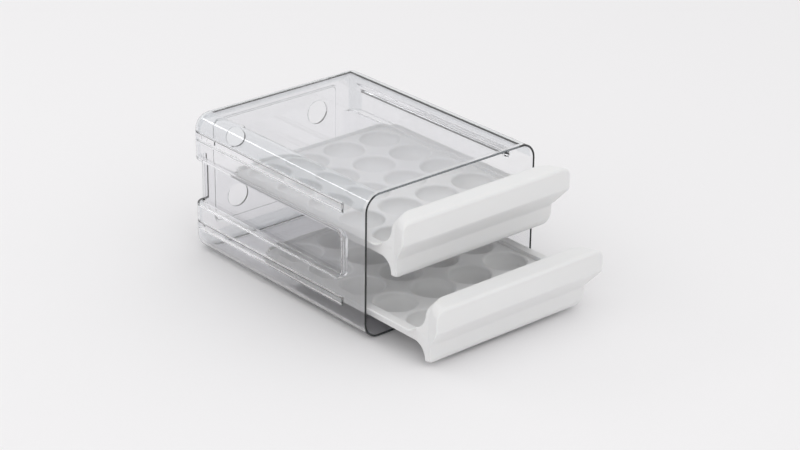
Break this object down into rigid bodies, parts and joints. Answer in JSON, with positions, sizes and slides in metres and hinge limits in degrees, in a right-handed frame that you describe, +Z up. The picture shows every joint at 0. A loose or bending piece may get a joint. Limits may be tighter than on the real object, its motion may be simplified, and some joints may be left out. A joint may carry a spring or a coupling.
{
  "type": "egg holder",
  "caption": "Two-tier refrigerator keeper: a clear open-fronted case with a ledged waist, and white trays of round cups that slide out on ledges and ribs by their tall lipped fronts.",
  "frame": {"origin": "the centre of the flat base of the case, on the surface that it stands on", "axes": "+Z is up, the drawers open towards -Y, and X runs across the case, which is symmetric about X = 0"},
  "size_m": [0.223, 0.3851, 0.1535],
  "materials": {
    "clear_plastic": "clear moulded polystyrene with a faint cool grey tint, polished and see-through, darker where it is seen edge on",
    "white_plastic": "white moulded polypropylene, opaque with a soft satin sheen"
  },
  "bodies": {
    "case": {"case": "clear_plastic"},
    "upper_drawer": {"upper_drawer": "white_plastic"},
    "lower_drawer": {"lower_drawer": "white_plastic"}
  },
  "joints": [
    {"name": "upper_slide", "type": "slide", "parent": "case", "child": "upper_drawer", "axis": [0, -1, 0], "range_m": [-0.0246, 0.1254]},
    {"name": "lower_slide", "type": "slide", "parent": "case", "child": "lower_drawer", "axis": [0, -1, 0], "range_m": [-0.0752, 0.0748]}
  ]
}
